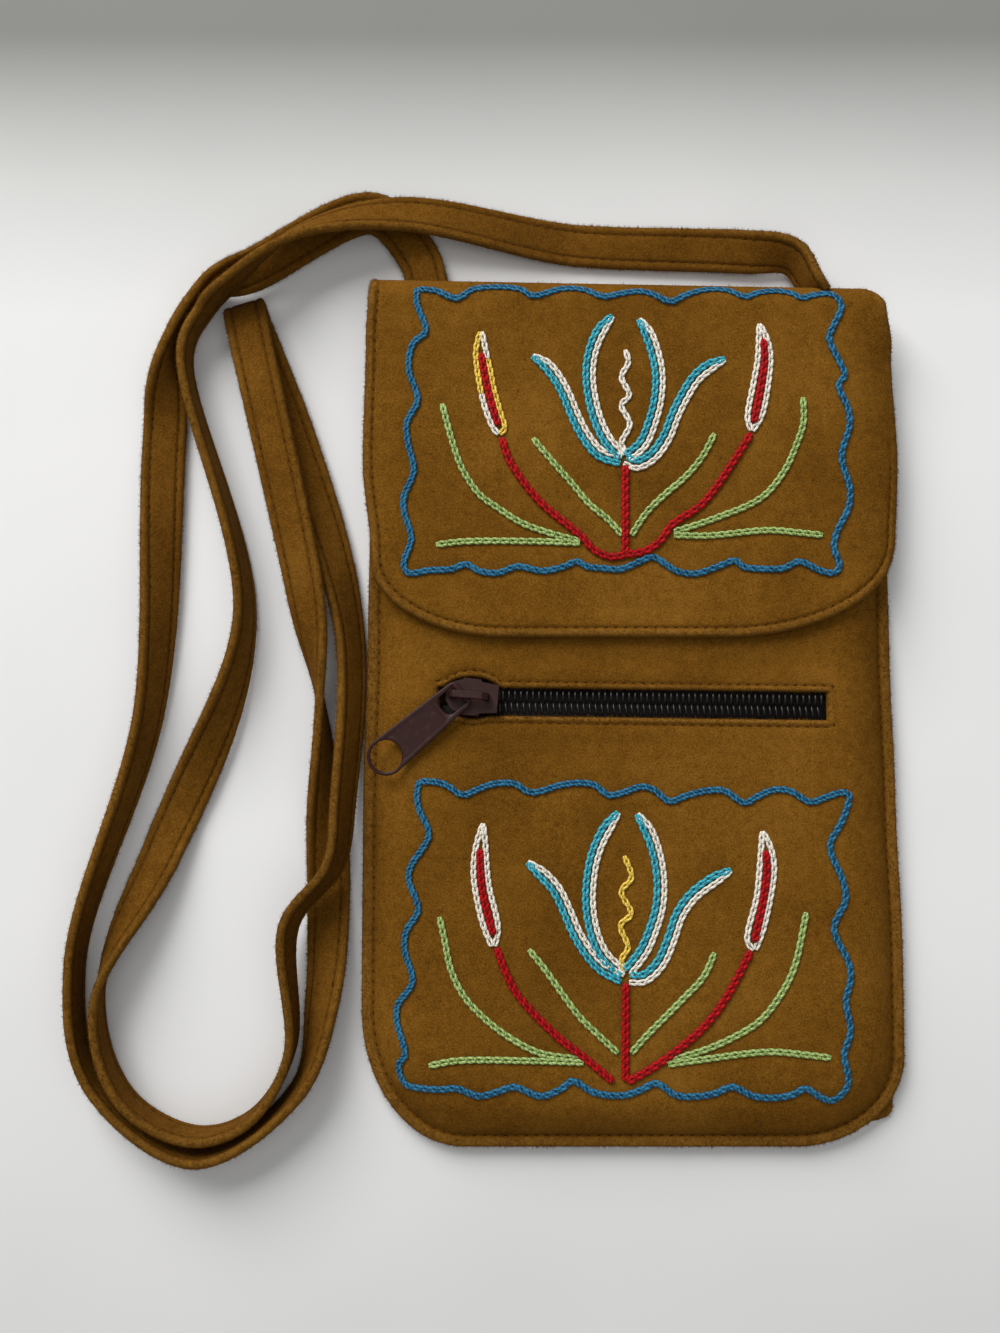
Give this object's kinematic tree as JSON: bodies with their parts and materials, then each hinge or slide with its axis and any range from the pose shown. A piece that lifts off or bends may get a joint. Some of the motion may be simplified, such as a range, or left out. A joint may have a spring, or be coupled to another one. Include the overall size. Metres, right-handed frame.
{
  "type": "travel document bag",
  "caption": "Flat suede travel document pouch with a fold-over flap, a zipped front, embroidered panels and a long flat strap, lying on its back",
  "frame": {"origin": "on the surface the bag lies on, under the middle of the bag's box without the strap", "axes": "+X is the right of the front view, +Y runs up to the folded top, +Z points out of the front, away from the surface"},
  "size_m": [0.2017, 0.2388, 0.0168],
  "materials": {
    "suede": "matte tobacco brown suede nap",
    "strap_suede": "matte tobacco brown suede nap, doubled and topstitched",
    "zip_tape": "dark woven tape",
    "zip_coil": "satin dark nylon coil",
    "zip_metal": "satin dark plum brown paint"
  },
  "bodies": {
    "bag": {"back_and_flap": "suede", "front_panel": "suede", "zip_tape": "zip_tape", "zip_chain": "zip_coil", "zip_slider": "zip_metal", "strap": "strap_suede"},
    "pull": {"pull_tab": "zip_metal"}
  },
  "joints": [
    {"name": "pull_lift", "type": "hinge", "parent": "bag", "child": "pull", "pos_m": [-0.0413, 0.0034, 0.0118], "axis": [-0.6428, 0.766, 0], "range_deg": [0, 90]}
  ]
}
